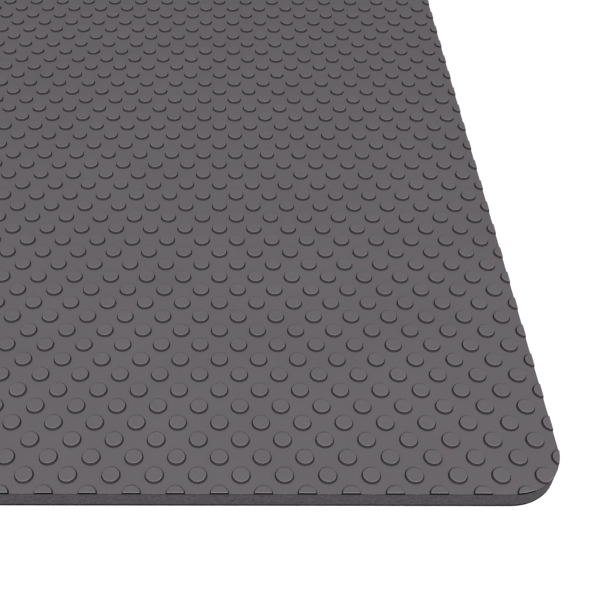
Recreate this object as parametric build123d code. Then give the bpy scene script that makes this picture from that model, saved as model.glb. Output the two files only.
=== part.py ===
from build123d import *
import os

# Anti-fatigue standing mat: three sheets bonded face to face and trimmed to one outline.
# Millimetres. +Z is up, +X runs across the width and +Y along the length.
# The origin is the middle of the underside.

# Driving dimensions
mat_width = 600.0
mat_length = 900.0
corner_radius = 32.0
backing_thickness = 1.0
core_thickness = 10.0
sheet_thickness = 1.0
stud_pitch = 25.0  # between neighbours in a row; every other row is shifted by half of it
stud_base_diameter = 11.5
stud_top_diameter = 10.1
stud_height = 1.7

# Heights of the joints between the sheets
core_bottom = backing_thickness
sheet_bottom = core_bottom + core_thickness
sheet_top = sheet_bottom + sheet_thickness

# The studs stand on a square grid of half-pitch steps, on every place where column + row is even.
# The edges run along grid lines, so they cut the outer studs in half.
grid_step = stud_pitch / 2
edge_column = round(mat_width / 2 / grid_step)
edge_row = round(mat_length / 2 / grid_step)
stud_radius = stud_base_diameter / 2


def slab(bottom, thickness):
    """A flat sheet with the mat's outline, from one height upwards."""
    outline = RectangleRounded(mat_width, mat_length, corner_radius)
    return Pos(0, 0, bottom) * extrude(outline, thickness)


def stud_places():
    """Centres of all studs, as x, y pairs."""
    places = []
    for column in range(-edge_column, edge_column + 1):
        for row in range(-edge_row, edge_row + 1):
            if (column + row) % 2 == 0:
                places.append((column * grid_step, row * grid_step))
    return places


def crosses_trim(x, y):
    """True where the trimmed outline cuts a stud or passes it by."""
    past_side = abs(x) + stud_radius > mat_width / 2
    past_end = abs(y) + stud_radius > mat_length / 2
    over_x = abs(x) - (mat_width / 2 - corner_radius)
    over_y = abs(y) - (mat_length / 2 - corner_radius)
    in_corner = over_x > 0 and over_y > 0
    past_arc = in_corner and (over_x**2 + over_y**2) ** 0.5 + stud_radius > corner_radius
    return past_side or past_end or past_arc


def wear_sheet():
    """The moulded top sheet with its round studs, cut flush with the edge."""
    grounded = (Align.CENTER, Align.CENTER, Align.MIN)
    stud = Cone(stud_radius, stud_top_diameter / 2, stud_height, align=grounded)
    trim = slab(sheet_top, stud_height)
    studs = []
    for x, y in stud_places():
        placed = Pos(x, y, sheet_top) * stud
        if crosses_trim(x, y):
            studs.extend((placed & trim).solids())
        else:
            studs.append(placed)
    return slab(sheet_bottom, sheet_thickness) + studs


def foam_core():
    """The cushioning slab between the two skins."""
    return slab(core_bottom, core_thickness)


def grip_backing():
    """The thin sheet that grips the floor."""
    return slab(0, backing_thickness)


nodes = {
    "wear_sheet": wear_sheet(),
    "foam_core": foam_core(),
    "grip_backing": grip_backing(),
}

os.makedirs("parts", exist_ok=True)
for name, shape in nodes.items():
    export_step(shape, f"parts/{name}.step")
    print(name, len(shape.solids()), "solid", round(shape.volume), "mm3")
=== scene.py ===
import math

import bmesh
import bpy
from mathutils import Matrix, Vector, noise


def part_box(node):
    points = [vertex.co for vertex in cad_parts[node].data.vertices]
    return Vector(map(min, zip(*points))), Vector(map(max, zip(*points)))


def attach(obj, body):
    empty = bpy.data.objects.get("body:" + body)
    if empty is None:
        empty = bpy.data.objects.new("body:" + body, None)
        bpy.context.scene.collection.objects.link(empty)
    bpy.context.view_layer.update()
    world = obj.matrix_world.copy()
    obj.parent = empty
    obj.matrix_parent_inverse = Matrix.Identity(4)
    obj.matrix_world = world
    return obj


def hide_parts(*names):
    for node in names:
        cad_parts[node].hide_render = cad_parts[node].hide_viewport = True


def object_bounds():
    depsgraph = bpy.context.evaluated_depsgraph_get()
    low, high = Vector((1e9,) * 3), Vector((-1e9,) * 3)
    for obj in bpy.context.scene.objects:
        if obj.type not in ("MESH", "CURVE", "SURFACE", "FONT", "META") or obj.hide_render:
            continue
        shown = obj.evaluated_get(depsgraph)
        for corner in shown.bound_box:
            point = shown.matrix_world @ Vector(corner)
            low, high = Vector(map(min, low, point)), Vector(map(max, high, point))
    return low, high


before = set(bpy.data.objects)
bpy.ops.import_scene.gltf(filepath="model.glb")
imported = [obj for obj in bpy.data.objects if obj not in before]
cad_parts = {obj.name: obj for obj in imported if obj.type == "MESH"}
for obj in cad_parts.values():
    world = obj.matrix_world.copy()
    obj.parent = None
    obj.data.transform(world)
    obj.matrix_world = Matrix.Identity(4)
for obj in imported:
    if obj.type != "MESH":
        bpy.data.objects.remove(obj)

bl_info = {
    "name": "Studded anti-fatigue mat",
    "version": (1, 0, 0),
    "blender": (4, 5, 0),
    "location": "3D View > Sidebar > Mat",
    "description": "Builds a laminated standing mat with round studs around its CAD frame",
    "category": "Add Mesh",
}

MM = 0.001
TOUCH = 0.001 * MM  # points nearer than this are one point
CORNERS = ((-1, -1), (-1, 1), (1, -1), (1, 1))  # on which side of the middle each corner lies
KNIFE_WAVE = 18 * MM  # how far apart the knife's wavers are along the foam
CAD_LOW, CAD_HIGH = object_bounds()


# ---------------------------------------------------------------- colour and nodes

# A colour Mix node's sockets go by number: its factor, its two colours and what it gives.
FACTOR, FIRST, SECOND, MIXED = 0, 6, 7, 2


def linear(hex_colour):
    """An sRGB hex colour as linear red, green and blue."""
    shown = [int(hex_colour[i : i + 2], 16) / 255 for i in (1, 3, 5)]
    return [c / 12.92 if c <= 0.04045 else ((c + 0.055) / 1.055) ** 2.4 for c in shown]


def shade(colour, factor):
    """A lighter or darker version of a linear colour, with its alpha."""
    return [channel * factor for channel in colour] + [1.0]


def add_node(tree, kind, links=None, sockets=None, **settings):
    """Adds a node with its settings, its socket values and what feeds it."""
    node = tree.nodes.new(kind)
    for name, value in settings.items():
        setattr(node, name, value)
    for name, value in (sockets or {}).items():
        node.inputs[name].default_value = value
    for name, source in (links or {}).items():
        tree.links.new(source, node.inputs[name])
    return node


def new_material(name):
    """An empty node material."""
    material = bpy.data.materials.new(name)
    material.use_nodes = True
    material.node_tree.nodes.clear()
    return material


# ---------------------------------------------------------------- sizes and colours


class MatSizes(bpy.types.PropertyGroup):
    """Sizes that a user may change, with the CAD model's own as defaults."""

    corner_radius: bpy.props.FloatProperty(
        name="Corner radius", description="Radius of the rounded corners in plan",
        default=32 * MM, unit="LENGTH")
    corner_steps: bpy.props.IntProperty(
        name="Corner steps", description="Straight steps that make up one rounded corner", default=16)
    stud_pitch: bpy.props.FloatProperty(
        name="Stud pitch", description="Distance between neighbouring studs of one row",
        default=25 * MM, unit="LENGTH")
    stud_base: bpy.props.FloatProperty(
        name="Stud base", description="Diameter of a stud where it leaves the sheet",
        default=11.5 * MM, unit="LENGTH")
    stud_top: bpy.props.FloatProperty(
        name="Stud top", description="Diameter of a stud's top before its rim is rounded",
        default=10.1 * MM, unit="LENGTH")
    stud_height: bpy.props.FloatProperty(
        name="Stud height", description="How far the studs stand above the sheet",
        default=1.7 * MM, unit="LENGTH")
    stud_rounding: bpy.props.FloatProperty(
        name="Stud rounding", description="How far the soft mould edge draws in the top of a stud's wall",
        default=0.2 * MM, unit="LENGTH")
    # The rim is drawn paler as a painted highlight.
    stud_rim: bpy.props.FloatProperty(
        name="Stud rim", description="Width of the rubbed rim around a stud's top",
        default=0.14 * MM, unit="LENGTH")
    stud_sides: bpy.props.IntProperty(
        name="Stud sides", description="Faces around one stud", default=16)
    # Along this strip the sheet is drawn dark as painted shade and the cut studs pale as a painted
    # highlight.
    cut_lip: bpy.props.FloatProperty(
        name="Cut lip", description="Width of the strip that the knife marked along the upper edge",
        default=0.35 * MM, unit="LENGTH")
    # Painted shade: a dark band at the foot of the foam, standing for the shade where the mat meets the
    # floor.
    foot_shade_height: bpy.props.FloatProperty(
        name="Glue line", description="Height of the dark adhesive line at the foot of the foam",
        default=0.7 * MM, unit="LENGTH")
    core_inset: bpy.props.FloatProperty(
        name="Core inset", description="How far the foam's cut edge lies behind the two skins",
        default=0.06 * MM, unit="LENGTH")
    core_facet: bpy.props.FloatProperty(
        name="Core facet", description="Length of the short faces along the foam's cut edge",
        default=4 * MM, unit="LENGTH")
    core_waver: bpy.props.FloatProperty(
        name="Core waver", description="How far the knife wandered along the foam's cut edge",
        default=0.05 * MM, unit="LENGTH")
    backing_rim: bpy.props.FloatProperty(
        name="Backing rim", description="Rounding of the backing's lower rim",
        default=0.2 * MM, unit="LENGTH")


class MatColours(bpy.types.PropertyGroup):
    """Base colours of the sheets."""

    sheet: bpy.props.FloatVectorProperty(
        name="Sheet", description="Moulded face of the top sheet",
        subtype="COLOR", size=3, default=linear("#555255"))
    # Painted light: the stud tops are drawn a shade paler than the sheet, as they catch more light than the
    # sheet between the studs.
    stud_top: bpy.props.FloatVectorProperty(
        name="Stud top", description="Flat tops of the studs, pressed hardest in the mould",
        subtype="COLOR", size=3, default=linear("#565356"))
    # Painted shade: the stud walls are the same rubber as the sheet, coloured far darker to stand for the
    # shade on their steep sides.
    stud_wall: bpy.props.FloatVectorProperty(
        name="Stud wall", description="Smooth moulded sides of the studs",
        subtype="COLOR", size=3, default=linear("#2C292C"))
    # Painted highlight: the rims are drawn much paler than the tops and stand for the light that catches the
    # rounded edge.
    stud_rim: bpy.props.FloatVectorProperty(
        name="Stud rim", description="Rubbed rims of the studs",
        subtype="COLOR", size=3, default=linear("#807D80"))
    # This colour also draws the strip along the sheet's upper edge, there as painted shade.
    sheet_edge: bpy.props.FloatVectorProperty(
        name="Sheet edge", description="Trimmed edge of the top sheet",
        subtype="COLOR", size=3, default=linear("#343235"))
    # Painted shade: the sliced stud ends are the same rubber as the sheet's cut edge, drawn near black to
    # stand for the shade on them.
    stud_end: bpy.props.FloatVectorProperty(
        name="Stud end", description="Sliced ends of the studs that the outline cuts",
        subtype="COLOR", size=3, default=linear("#050405"))
    foam: bpy.props.FloatVectorProperty(
        name="Foam", description="Cut edge of the foam core",
        subtype="COLOR", size=3, default=linear("#312F32"))
    # Painted shade: colours the dark band at the foot of the foam, the shade where the mat meets the floor.
    foot_shade: bpy.props.FloatVectorProperty(
        name="Glue", description="Adhesive squeezed out between foam and backing",
        subtype="COLOR", size=3, default=linear("#0A090B"))
    # Partly painted shade: the backing's near-black also draws the dark line of shade along the mat's foot.
    backing: bpy.props.FloatVectorProperty(
        name="Backing", description="Rubber of the underside",
        subtype="COLOR", size=3, default=linear("#070608"))


# ---------------------------------------------------------------- materials


def blasted_rubber(name, colour):
    """Nitrile rubber pressed in a shot-blasted mould: dead matt, with a fine sandy grain.

    The filler gives slow drifts of tone, warmer and cooler patches, and small specks.
    """
    material = new_material(name)
    tree = material.node_tree
    place = add_node(tree, "ShaderNodeTexCoord").outputs["Object"]
    drift = add_node(tree, "ShaderNodeTexNoise", {"Vector": place},
                     {"Scale": 1 / (45 * MM), "Detail": 3.0, "Roughness": 0.55})
    patches = add_node(tree, "ShaderNodeTexNoise", {"Vector": place},
                       {"Scale": 1 / (7 * MM), "Detail": 1.0, "Roughness": 0.5})
    # The real grain is about 0.2 mm, drawn twice as coarse so that it shows.
    grain = add_node(tree, "ShaderNodeTexNoise", {"Vector": place},
                     {"Scale": 1 / (0.4 * MM), "Detail": 2.0, "Roughness": 0.6})
    specks = add_node(tree, "ShaderNodeTexNoise", {"Vector": place},
                      {"Scale": 1 / (1.2 * MM), "Detail": 2.0, "Roughness": 0.6})
    mottle = add_node(tree, "ShaderNodeMath", {0: drift.outputs["Fac"], 1: specks.outputs["Fac"]},
                      operation="ADD")
    tone = add_node(tree, "ShaderNodeMapRange", {"Value": mottle.outputs[0]},
                    {"From Min": 0.6, "From Max": 1.4, "To Min": 0.0, "To Max": 1.0})
    warmth = add_node(tree, "ShaderNodeMapRange", {"Value": patches.outputs["Fac"]},
                      {"From Min": 0.35, "From Max": 0.65, "To Min": 0.0, "To Max": 1.0})
    red, green, blue = colour
    cool = add_node(tree, "ShaderNodeMix", {FACTOR: tone.outputs[0]},
                    {FIRST: shade((red * 0.98, green * 1.01, blue), 0.93),
                     SECOND: shade((red * 0.98, green * 1.01, blue), 1.07)}, data_type="RGBA")
    warm = add_node(tree, "ShaderNodeMix", {FACTOR: tone.outputs[0]},
                    {FIRST: shade((red * 1.03, green * 0.98, blue), 0.93),
                     SECOND: shade((red * 1.03, green * 0.98, blue), 1.07)}, data_type="RGBA")
    base = add_node(tree, "ShaderNodeMix", {FACTOR: warmth.outputs[0], FIRST: cool.outputs[MIXED],
                                            SECOND: warm.outputs[MIXED]}, data_type="RGBA")
    coarse = add_node(tree, "ShaderNodeBump", {"Height": specks.outputs["Fac"]},
                      {"Strength": 0.5, "Distance": 0.06 * MM})
    fine = add_node(tree, "ShaderNodeBump", {"Height": grain.outputs["Fac"], "Normal": coarse.outputs[0]},
                    {"Strength": 0.6, "Distance": 0.04 * MM})
    rough = add_node(tree, "ShaderNodeMapRange", {"Value": specks.outputs["Fac"]},
                     {"From Min": 0.3, "From Max": 0.7, "To Min": 0.78, "To Max": 0.9})
    surface = add_node(tree, "ShaderNodeBsdfPrincipled",
                       {"Base Color": base.outputs[MIXED], "Roughness": rough.outputs[0],
                        "Normal": fine.outputs[0]},
                       {"IOR": 1.5, "Specular IOR Level": 0.3})
    add_node(tree, "ShaderNodeOutputMaterial", {"Surface": surface.outputs[0]})
    return material


def smooth_rubber(name, colour, line_height, roughness, sheen):
    """Bare rubber, left smooth by a drilled mould hole or a knife, with faint lines around.

    Its darker colours are painted shade on the stud walls and the sliced stud ends. Coloured nearly black,
    it also draws the painted shade along the foot of the foam.
    """
    material = new_material(name)
    tree = material.node_tree
    place = add_node(tree, "ShaderNodeTexCoord").outputs["Object"]
    drawn = add_node(tree, "ShaderNodeMapping", {"Vector": place},
                     {"Scale": (1 / (4 * MM), 1 / (4 * MM), 1 / line_height)})
    lines = add_node(tree, "ShaderNodeTexNoise", {"Vector": drawn.outputs[0]},
                     {"Scale": 1.0, "Detail": 3.0, "Roughness": 0.6})
    base = add_node(tree, "ShaderNodeMix", {FACTOR: lines.outputs["Fac"]},
                    {FIRST: shade(colour, 0.85), SECOND: shade(colour, 1.15)}, data_type="RGBA")
    bump = add_node(tree, "ShaderNodeBump", {"Height": lines.outputs["Fac"]},
                    {"Strength": 0.4, "Distance": 0.04 * MM})
    surface = add_node(tree, "ShaderNodeBsdfPrincipled",
                       {"Base Color": base.outputs[MIXED], "Normal": bump.outputs[0]},
                       {"Roughness": roughness, "IOR": 1.5, "Specular IOR Level": sheen})
    add_node(tree, "ShaderNodeOutputMaterial", {"Surface": surface.outputs[0]})
    return material


def cut_foam(colour):
    """Closed-cell rubber foam, sliced: opened cells show as dark pits, smeared into streaks by the blade."""
    material = new_material("cut_foam")
    tree = material.node_tree
    place = add_node(tree, "ShaderNodeTexCoord").outputs["Object"]
    # The cells are about 0.4 mm, drawn twice as coarse so that they show.
    cells = add_node(tree, "ShaderNodeTexVoronoi", {"Vector": place}, {"Scale": 1 / (0.9 * MM)})
    pits = add_node(tree, "ShaderNodeMapRange", {"Value": cells.outputs["Distance"]},
                    {"From Min": 0.1, "From Max": 0.6, "To Min": 0.0, "To Max": 1.0})
    flat = add_node(tree, "ShaderNodeMapping", {"Vector": place},
                    {"Scale": (1 / (3 * MM), 1 / (3 * MM), 1 / (1.3 * MM))})
    streaks = add_node(tree, "ShaderNodeTexNoise", {"Vector": flat.outputs[0]},
                       {"Scale": 1.0, "Detail": 2.0, "Roughness": 0.7, "Distortion": 0.8})
    smear = add_node(tree, "ShaderNodeMapRange", {"Value": streaks.outputs["Fac"]},
                     {"From Min": 0.3, "From Max": 0.7, "To Min": 0.0, "To Max": 1.0})
    relief = add_node(tree, "ShaderNodeMath", {0: pits.outputs[0], 1: smear.outputs[0]}, operation="ADD")
    tone = add_node(tree, "ShaderNodeMapRange", {"Value": relief.outputs[0]},
                    {"From Min": 0.2, "From Max": 1.8, "To Min": 0.0, "To Max": 1.0})
    base = add_node(tree, "ShaderNodeMix", {FACTOR: tone.outputs[0]},
                    {FIRST: shade(colour, 0.4), SECOND: shade(colour, 1.6)}, data_type="RGBA")
    bump = add_node(tree, "ShaderNodeBump", {"Height": relief.outputs[0]},
                    {"Strength": 0.6, "Distance": 0.12 * MM})
    surface = add_node(tree, "ShaderNodeBsdfPrincipled",
                       {"Base Color": base.outputs[MIXED], "Normal": bump.outputs[0]},
                       {"Roughness": 0.92, "IOR": 1.5, "Specular IOR Level": 0.2})
    add_node(tree, "ShaderNodeOutputMaterial", {"Surface": surface.outputs[0]})
    return material


def grip_rubber_and_foot_shade(colour):
    """Soft black rubber rolled against cloth: dead matt, with a small even weave print that grips. Its
    near-black is partly the rubber's own and partly painted shade along the mat's foot.
    """
    material = new_material("grip_rubber_and_foot_shade")
    tree = material.node_tree
    place = add_node(tree, "ShaderNodeTexCoord").outputs["Object"]
    # The threads are 2 mm apart, and a wave texture of scale 1 has 20 radians to the metre.
    threads = math.tau / 20 / (2 * MM)
    warp = add_node(tree, "ShaderNodeTexWave", {"Vector": place},
                    {"Scale": threads, "Distortion": 0.3}, bands_direction="X")
    weft = add_node(tree, "ShaderNodeTexWave", {"Vector": place},
                    {"Scale": threads, "Distortion": 0.3}, bands_direction="Y")
    cloth = add_node(tree, "ShaderNodeMath", {0: warp.outputs["Fac"], 1: weft.outputs["Fac"]},
                     operation="MULTIPLY")
    dust = add_node(tree, "ShaderNodeTexNoise", {"Vector": place},
                    {"Scale": 1 / (15 * MM), "Detail": 4.0, "Roughness": 0.6})
    base = add_node(tree, "ShaderNodeMix", {FACTOR: dust.outputs["Fac"]},
                    {FIRST: shade(colour, 0.8), SECOND: shade(colour, 1.2)}, data_type="RGBA")
    bump = add_node(tree, "ShaderNodeBump", {"Height": cloth.outputs[0]},
                    {"Strength": 0.8, "Distance": 0.2 * MM})
    surface = add_node(tree, "ShaderNodeBsdfPrincipled",
                       {"Base Color": base.outputs[MIXED], "Normal": bump.outputs[0]},
                       {"Roughness": 0.9, "IOR": 1.5, "Specular IOR Level": 0.05})
    add_node(tree, "ShaderNodeOutputMaterial", {"Surface": surface.outputs[0]})
    return material


def studio_paper():
    """Seamless white background paper: smooth, matt and even."""
    material = new_material("studio_paper")
    surface = add_node(material.node_tree, "ShaderNodeBsdfPrincipled", None,
                       {"Base Color": (0.9, 0.9, 0.9, 1.0), "Roughness": 0.95, "Specular IOR Level": 0.1})
    add_node(material.node_tree, "ShaderNodeOutputMaterial", {"Surface": surface.outputs[0]})
    return material


# ---------------------------------------------------------------- mesh work


def everything(bm):
    """All the geometry of a bmesh, as its operators take it."""
    return bm.verts[:] + bm.edges[:] + bm.faces[:]


def with_corners(faces):
    """Some faces with their edges and corners, as bisect_plane takes them."""
    edges = dict.fromkeys(edge for face in faces for edge in face.edges)
    verts = dict.fromkeys(vert for face in faces for vert in face.verts)
    return [*verts, *edges, *faces]


def finished_piece(bm, name, node, materials):
    """Turns a bmesh into a piece that rides on the mat and stands for its CAD node."""
    mesh = bpy.data.meshes.new(name)
    bm.to_mesh(mesh)
    bm.free()
    for material in materials:
        mesh.materials.append(material)
    piece = bpy.data.objects.new(name, mesh)
    bpy.context.scene.collection.objects.link(piece)
    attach(piece, "root")
    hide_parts(node)
    return piece


def keep_flats_flat(piece):
    """Weighs normals by face size, so that only the narrow rounded faces turn the light."""
    modifier = piece.modifiers.new("flat_faces", "WEIGHTED_NORMAL")
    modifier.keep_sharp = True
    modifier.weight = 90


# Material slots of the wear sheet and of the foam core
FACE, TOP, WALL, RIM, TRIMMED_AND_EDGE_SHADE, STUD_END = range(6)
SLICED, FOOT_SHADE = range(2)


def stud_tile(bm, sizes, ground):
    """One stud in the middle of its diamond of sheet, at the origin."""
    disc = bmesh.ops.create_circle(bm, cap_ends=True, segments=sizes.stud_sides,
                                   radius=sizes.stud_base / 2)
    cap = disc["verts"][0].link_faces[0]
    foot = list(cap.edges)
    diamond = bmesh.ops.create_circle(bm, segments=4, radius=sizes.stud_pitch / 2)
    border = list(dict.fromkeys(edge for vert in diamond["verts"] for edge in vert.link_edges))
    bmesh.ops.bridge_loops(bm, edges=foot + border)
    for edge in foot:
        edge.smooth = False
    bmesh.ops.recalc_face_normals(bm, faces=bm.faces[:])
    draft = (sizes.stud_base - sizes.stud_top) / 2 + sizes.stud_rounding
    rim_drop = 0.7 * sizes.stud_rim  # the rim slopes less than the wall
    to_side = math.cos(math.pi / sizes.stud_sides)  # from the distance of a corner to that of a side
    walls = bmesh.ops.inset_region(bm, faces=[cap], thickness=draft * to_side, use_boundary=True,
                                   use_even_offset=True)["faces"]
    bmesh.ops.translate(bm, vec=(0, 0, sizes.stud_height - rim_drop), verts=list(cap.verts))
    rims = bmesh.ops.inset_region(bm, faces=[cap], thickness=sizes.stud_rim * to_side, use_boundary=True,
                                  use_even_offset=True)["faces"]
    bmesh.ops.translate(bm, vec=(0, 0, rim_drop), verts=list(cap.verts))
    cap.material_index = TOP
    for face in walls:
        face.material_index = WALL
    # The rim faces take the painted highlight.
    for face in rims:
        face.material_index = RIM
    bmesh.ops.translate(bm, vec=(0, 0, ground), verts=bm.verts[:])


def repeat(bm, offset, times):
    """Copies all that a bmesh holds, times over, each copy one offset further on."""
    first = everything(bm)
    for index in range(1, times):
        copy = bmesh.ops.duplicate(bm, geom=first)["geom"]
        moved = [item for item in copy if isinstance(item, bmesh.types.BMVert)]
        bmesh.ops.translate(bm, vec=offset * index, verts=moved)


def stud_field(sizes, ground):
    """Studs over the whole mat and a little past it, in rows shifted by half a pitch."""
    bm = bmesh.new()
    stud_tile(bm, sizes, ground)
    half = sizes.stud_pitch / 2
    columns = round((CAD_HIGH.x - CAD_LOW.x) / sizes.stud_pitch) + 1
    rows = round((CAD_HIGH.y - CAD_LOW.y) / sizes.stud_pitch) + 1
    repeat(bm, Vector((half, half, 0)), 2)
    repeat(bm, Vector((sizes.stud_pitch, 0, 0)), columns)
    repeat(bm, Vector((0, sizes.stud_pitch, 0)), rows)
    bmesh.ops.translate(bm, vec=(CAD_LOW.x, CAD_LOW.y, 0), verts=bm.verts[:])
    bmesh.ops.remove_doubles(bm, verts=bm.verts[:], dist=TOUCH)
    return bm


def cut_flat(bm, geometry, point, outward, clear):
    """Cuts geometry along a plane, clears what lies outside if asked to, and returns the rest."""
    kept = bmesh.ops.bisect_plane(bm, geom=geometry, dist=TOUCH, plane_co=point, plane_no=outward,
                                  clear_outer=clear)["geom"]
    return [item for item in kept if item.is_valid]


def side_planes():
    """A point on each straight side of the mat and the direction out of it."""
    planes = [(Vector((side * CAD_HIGH.x, 0, 0)), Vector((side, 0, 0))) for side in (-1, 1)]
    planes += [(Vector((0, side * CAD_HIGH.y, 0)), Vector((0, side, 0))) for side in (-1, 1)]
    return planes


def corner_planes(sizes, side_x, side_y):
    """A point on each short straight step of one rounded corner and the direction out of it."""
    radius = sizes.corner_radius
    step = math.pi / 2 / sizes.corner_steps
    centre = Vector((side_x * (CAD_HIGH.x - radius), side_y * (CAD_HIGH.y - radius), 0))
    planes = []
    for index in range(sizes.corner_steps):
        turn = (index + 0.5) * step
        outward = Vector((side_x * math.cos(turn), side_y * math.sin(turn), 0))
        planes.append((centre + outward * radius * math.cos(step / 2), outward))
    return planes


def trim_to_outline(bm, sizes):
    """Trims a flat field to the mat's straight edges and rounded corners."""
    for point, outward in side_planes():
        cut_flat(bm, everything(bm), point, outward, True)
    reach = 2 * sizes.corner_radius
    for side_x, side_y in CORNERS:
        corner = [face for face in bm.faces
                  if side_x * face.verts[0].co.x > CAD_HIGH.x - reach
                  and side_y * face.verts[0].co.y > CAD_HIGH.y - reach]
        geometry = with_corners(corner)
        for point, outward in corner_planes(sizes, side_x, side_y):
            geometry = cut_flat(bm, geometry, point, outward, True)


def depth_inside(point, sizes):
    """How far a point lies inside the mat's outline."""
    past_x = abs(point.x) - CAD_HIGH.x + sizes.corner_radius
    past_y = abs(point.y) - CAD_HIGH.y + sizes.corner_radius
    from_middle = math.hypot(max(past_x, 0), max(past_y, 0)) + min(max(past_x, past_y), 0)
    return sizes.corner_radius - from_middle


def mark_cut_edge(bm, sizes):
    """Marks a strip along the cut edge: a dark line along the sheet as painted shade, a pale lip on the
    studs that it cut as a painted highlight.
    """
    outermost = [face for face in bm.faces
                 if face.material_index in (FACE, TOP) and any(edge.is_boundary for edge in face.edges)]
    planes = side_planes()
    for side_x, side_y in CORNERS:
        planes += corner_planes(sizes, side_x, side_y)
    geometry = with_corners(outermost)
    for point, outward in planes:
        geometry = cut_flat(bm, geometry, point - outward * sizes.cut_lip, outward, False)
    # The strip takes painted shade on the sheet and a painted highlight on the stud tops.
    for item in geometry:
        if isinstance(item, bmesh.types.BMFace) and item.material_index in (FACE, TOP):
            if depth_inside(item.calc_center_median(), sizes) < sizes.cut_lip:
                item.material_index = RIM if item.material_index == TOP else TRIMMED_AND_EDGE_SHADE


def cut_across(bm, faces, height):
    """Divides upright faces at a height and returns all the faces that come of it."""
    geometry = bmesh.ops.bisect_plane(bm, geom=with_corners(faces), dist=TOUCH,
                                      plane_co=(0, 0, height), plane_no=(0, 0, 1))["geom"]
    return [item for item in geometry if isinstance(item, bmesh.types.BMFace)]


def close_sheet(bm, ground, underside):
    """Hangs a wall from the field's outline, with painted shade where it slices studs, and closes it below.
    """
    rim = [edge for edge in bm.edges if edge.is_boundary]
    wall = bmesh.ops.extrude_edge_only(bm, edges=rim)["geom"]
    lower = [item for item in wall if isinstance(item, bmesh.types.BMVert)]
    cut = [item for item in wall if isinstance(item, bmesh.types.BMFace)]
    bmesh.ops.scale(bm, vec=(1, 1, 0), verts=lower)
    bmesh.ops.translate(bm, vec=(0, 0, underside), verts=lower)
    for face in cut:
        face.material_index = TRIMMED_AND_EDGE_SHADE
    # The stud ends above the ground take the painted shade.
    for face in cut_across(bm, cut, ground):
        if face.calc_center_median().z > ground:
            face.material_index = STUD_END
    open_edges = [edge for edge in bm.edges if edge.is_boundary]
    bottom = bmesh.ops.contextual_create(bm, geom=open_edges, mat_nr=TRIMMED_AND_EDGE_SHADE)["faces"]
    bmesh.ops.recalc_face_normals(bm, faces=bm.faces[:])
    for edge in rim + open_edges:
        edge.smooth = False
    for face in bm.faces:
        face.smooth = face not in bottom


def rounded_slab(sizes, low, high, facet):
    """A flat slab with the mat's outline between two heights, its long sides divided into facets."""
    bm = bmesh.new()
    bmesh.ops.create_grid(bm, x_segments=1, y_segments=1, size=0.5)
    bmesh.ops.scale(bm, vec=(high.x - low.x, high.y - low.y, 1), verts=bm.verts[:])
    bmesh.ops.translate(bm, vec=(0, 0, low.z), verts=bm.verts[:])
    bmesh.ops.bevel(bm, geom=bm.verts[:], affect="VERTICES", offset=sizes.corner_radius,
                    segments=sizes.corner_steps, profile=0.5, material=-1)
    for edge in [edge for edge in bm.edges if edge.calc_length() > 2 * facet]:
        bmesh.ops.subdivide_edges(bm, edges=[edge], cuts=round(edge.calc_length() / facet) - 1)
    raised = bmesh.ops.extrude_face_region(bm, geom=bm.faces[:])["geom"]
    top = [item for item in raised if isinstance(item, bmesh.types.BMVert)]
    bmesh.ops.translate(bm, vec=(0, 0, high.z - low.z), verts=top)
    bmesh.ops.recalc_face_normals(bm, faces=bm.faces[:])
    return bm


def upright(edge):
    """True for an edge that runs straight up."""
    return (edge.verts[0].co.xy - edge.verts[1].co.xy).length < TOUCH


def add_lamp(scene, light, place, tilt):
    """Puts a lamp in place, tilted by some degrees so that it shines from in front of the mat."""
    lamp = bpy.data.objects.new(light.name, light)
    lamp.location = place
    lamp.rotation_euler.x = math.radians(tilt)
    scene.collection.objects.link(lamp)


# ---------------------------------------------------------------- operators


class MAT_OT_wear_sheet(bpy.types.Operator):
    """Moulds the studded top sheet and trims it flush with the mat's outline"""

    bl_idname = "mat.wear_sheet"
    bl_label = "Wear sheet"

    def execute(self, context):
        sizes, colours = context.scene.mat_sizes, context.scene.mat_colours
        low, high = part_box("wear_sheet")
        ground = high.z - sizes.stud_height
        bm = stud_field(sizes, ground)
        trim_to_outline(bm, sizes)
        mark_cut_edge(bm, sizes)
        close_sheet(bm, ground, low.z)
        materials = [
            blasted_rubber("blasted_nitrile", list(colours.sheet)),
            # The stud tops' paler colour is painted light.
            blasted_rubber("top_nitrile_painted_light", list(colours.stud_top)),
            # The stud walls' dark colour is painted shade.
            smooth_rubber("wall_nitrile_painted_shade", list(colours.stud_wall), 0.5 * MM, 0.8, 0.15),
            # The rims' pale colour is a painted highlight.
            blasted_rubber("rim_painted_highlight", list(colours.stud_rim)),
            smooth_rubber("trimmed_nitrile_and_edge_shade", list(colours.sheet_edge), 0.35 * MM, 0.85, 0.15),
            # The stud ends' near black is painted shade.
            smooth_rubber("stud_end_painted_shade", list(colours.stud_end), 0.35 * MM, 0.9, 0.02),
        ]
        piece = finished_piece(bm, "studded_wear_sheet", "wear_sheet", materials)
        keep_flats_flat(piece)
        return {"FINISHED"}


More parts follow.
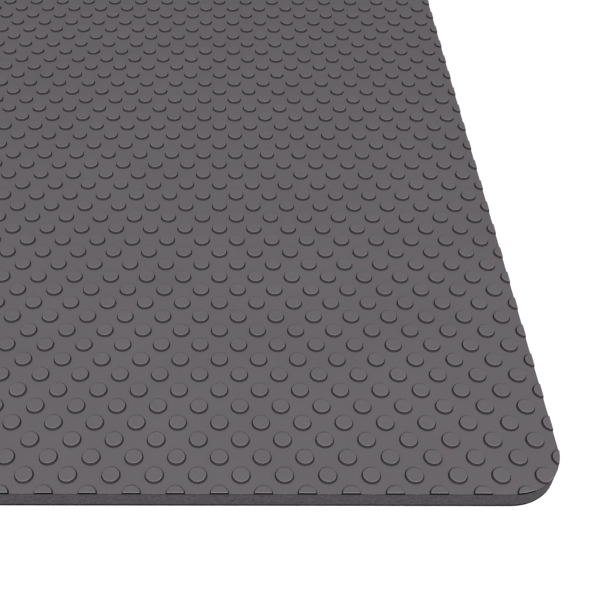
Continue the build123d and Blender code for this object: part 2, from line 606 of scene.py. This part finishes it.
class MAT_OT_foam_core(bpy.types.Operator):
    """Cuts the foam slab, with the slight waver that a knife leaves along its edge"""

    bl_idname = "mat.foam_core"
    bl_label = "Foam core"

    def execute(self, context):
        sizes, colours = context.scene.mat_sizes, context.scene.mat_colours
        low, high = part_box("foam_core")
        bm = rounded_slab(sizes, low, high, sizes.core_facet)
        rungs = [edge for edge in bm.edges if upright(edge)]
        bmesh.ops.subdivide_edges(bm, edges=rungs, cuts=3)
        # The lowest band of the foam's edge takes painted shade.
        foot_shade_top = low.z + sizes.foot_shade_height
        walls = [face for face in bm.faces if len(face.verts) == 4]
        for face in cut_across(bm, walls, foot_shade_top):
            face.material_index = FOOT_SHADE if face.calc_center_median().z < foot_shade_top else SLICED
        bm.normal_update()
        inward = {}
        for vert in bm.verts:
            out = Vector((vert.normal.x, vert.normal.y, 0)).normalized()
            waver = noise.noise(Vector((vert.co.x, vert.co.y, 2 * vert.co.z)) / KNIFE_WAVE)
            inward[vert] = -out * (sizes.core_inset + sizes.core_waver * waver)
        for vert, move in inward.items():
            vert.co += move
        for face in bm.faces:
            face.smooth = len(face.verts) == 4
        for edge in bm.edges:
            edge.smooth = all(face.smooth for face in edge.link_faces)
        materials = [
            cut_foam(list(colours.foam)),
            # The foot band's near black is painted shade.
            smooth_rubber("foot_painted_shade", list(colours.foot_shade), 0.3 * MM, 0.7, 0.1),
        ]
        piece = finished_piece(bm, "foam_core_slab", "foam_core", materials)
        return {"FINISHED"}


class MAT_OT_grip_backing(bpy.types.Operator):
    """Lays the thin rubber sheet that grips the floor"""

    bl_idname = "mat.grip_backing"
    bl_label = "Grip backing"

    def execute(self, context):
        sizes, colours = context.scene.mat_sizes, context.scene.mat_colours
        low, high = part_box("grip_backing")
        bm = rounded_slab(sizes, low, high, high.y - low.y)
        lower_rim = [edge for edge in bm.edges if all(vert.co.z < low.z + TOUCH for vert in edge.verts)]
        bmesh.ops.bevel(bm, geom=lower_rim, affect="EDGES", offset=sizes.backing_rim, segments=2,
                        profile=0.5, material=-1)
        for face in bm.faces:
            face.smooth = True
        piece = finished_piece(bm, "grip_backing_sheet", "grip_backing",
                               [grip_rubber_and_foot_shade(list(colours.backing))])
        keep_flats_flat(piece)
        return {"FINISHED"}


class MAT_OT_stage(bpy.types.Operator):
    """Sets the white floor, the lamps, the pale surround and the camera"""

    bl_idname = "mat.stage"
    bl_label = "Stage"

    def execute(self, context):
        scene = context.scene
        scene.view_settings.view_transform = "Standard"

        bm = bmesh.new()
        bmesh.ops.create_circle(bm, cap_ends=True, segments=64, radius=40.0)
        mesh = bpy.data.meshes.new("floor")
        bm.to_mesh(mesh)
        bm.free()
        mesh.materials.append(studio_paper())
        floor = bpy.data.objects.new("floor", mesh)
        scene.collection.objects.link(floor)

        ceiling = bpy.data.lights.new("ceiling", "SUN")
        ceiling.energy = 2.75
        ceiling.angle = math.radians(25)
        add_lamp(scene, ceiling, (0, 0, 2), 45)
        softbox = bpy.data.lights.new("softbox", "AREA")
        softbox.energy = 10.5
        softbox.shape = "SQUARE"
        softbox.size = 1.0
        add_lamp(scene, softbox, (0.1, -1.1, 1.05), 45)

        world = bpy.data.worlds.new("pale_surround")
        world.use_nodes = True
        tree = world.node_tree
        tree.nodes.clear()
        direction = add_node(tree, "ShaderNodeTexCoord").outputs["Generated"]
        rise = add_node(tree, "ShaderNodeSeparateXYZ", {"Vector": direction}).outputs["Z"]
        fade = add_node(tree, "ShaderNodeMapRange", {"Value": rise},
                        {"From Min": 0.0, "From Max": 0.25, "To Min": 1.1, "To Max": 0.4},
                        interpolation_type="SMOOTHSTEP")
        sky = add_node(tree, "ShaderNodeBackground", {"Strength": fade.outputs[0]},
                       {"Color": (1.0, 1.0, 1.0, 1.0)})
        add_node(tree, "ShaderNodeOutputWorld", {"Surface": sky.outputs[0]})
        scene.world = world

        lens = bpy.data.cameras.new("camera")
        lens.lens = 58.7
        lens.shift_x = 0.1332
        camera = bpy.data.objects.new("camera", lens)
        camera.location = (0.0988, -0.7560, 0.4882)
        camera.rotation_euler = (math.radians(43.971), math.radians(-0.184), math.radians(-0.016))
        scene.collection.objects.link(camera)
        scene.camera = camera
        return {"FINISHED"}


class MAT_PT_panel(bpy.types.Panel):
    """Lists the mat's pieces in the sidebar"""

    bl_idname = "MAT_PT_panel"
    bl_label = "Anti-fatigue mat"
    bl_space_type = "VIEW_3D"
    bl_region_type = "UI"
    bl_category = "Mat"

    def draw(self, context):
        for operator in OPERATORS:
            self.layout.operator(operator.bl_idname)


OPERATORS = (MAT_OT_wear_sheet, MAT_OT_foam_core, MAT_OT_grip_backing, MAT_OT_stage)
CLASSES = (MatSizes, MatColours, *OPERATORS, MAT_PT_panel)


def register():
    """Makes the classes and the scene's settings known to Blender."""
    for cls in CLASSES:
        bpy.utils.register_class(cls)
    bpy.types.Scene.mat_sizes = bpy.props.PointerProperty(type=MatSizes)
    bpy.types.Scene.mat_colours = bpy.props.PointerProperty(type=MatColours)


def unregister():
    """Takes them away again."""
    del bpy.types.Scene.mat_colours
    del bpy.types.Scene.mat_sizes
    for cls in reversed(CLASSES):
        bpy.utils.unregister_class(cls)


def main():
    """Builds the mat piece by piece."""
    register()
    bpy.ops.mat.wear_sheet()
    bpy.ops.mat.foam_core()
    bpy.ops.mat.grip_backing()
    bpy.ops.mat.stage()


if __name__ == "__main__":
    main()
